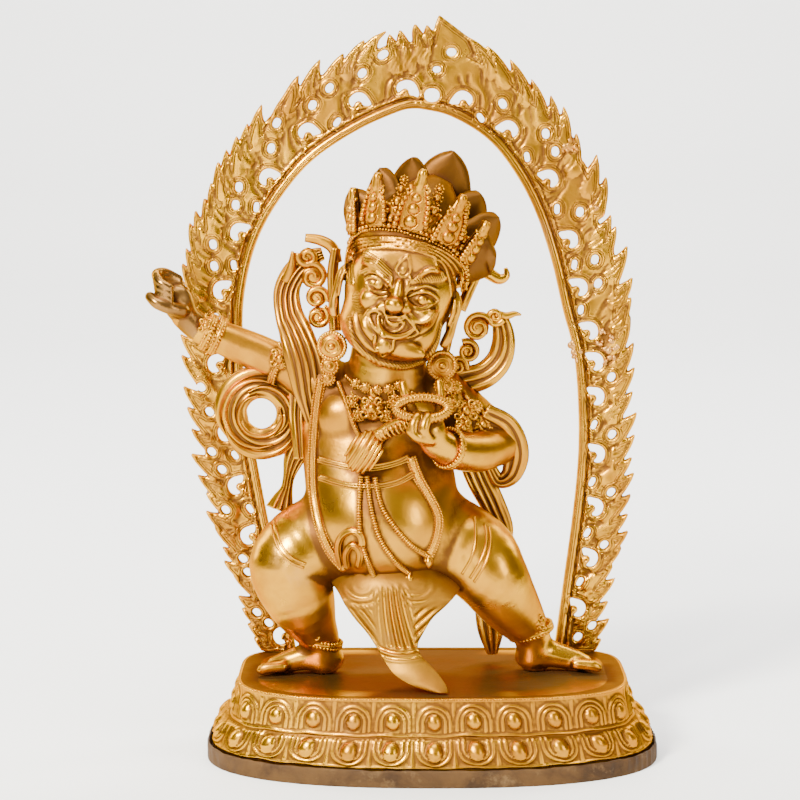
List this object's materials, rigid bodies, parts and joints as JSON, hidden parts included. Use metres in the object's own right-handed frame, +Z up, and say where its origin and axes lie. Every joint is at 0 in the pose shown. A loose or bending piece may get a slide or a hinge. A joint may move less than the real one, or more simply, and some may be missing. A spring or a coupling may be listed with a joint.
{
  "type": "vajrapani statue",
  "caption": "Gilt bronze statue of wrathful Vajrapani lunging on a lotus plinth, with scarves, crown and a standing openwork flame arch behind.",
  "frame": {"origin": "middle of the underside of the base tray, which is the surface that the statue stands on", "axes": "+Z up, -Y to the front, where the figure faces, and +X to the viewer's right, which is the figure's left"},
  "size_m": [0.4117, 0.212, 0.6003],
  "materials": {
    "gilt": "fire gilding, satin, worn in the recesses",
    "tray_metal": "tarnished copper sheet, dull and blotched"
  },
  "bodies": {
    "root": {"base_tray": "tray_metal", "lotus_plinth": "gilt", "aureole": "gilt", "vajrapani_figure": "gilt"}
  },
  "joints": []
}
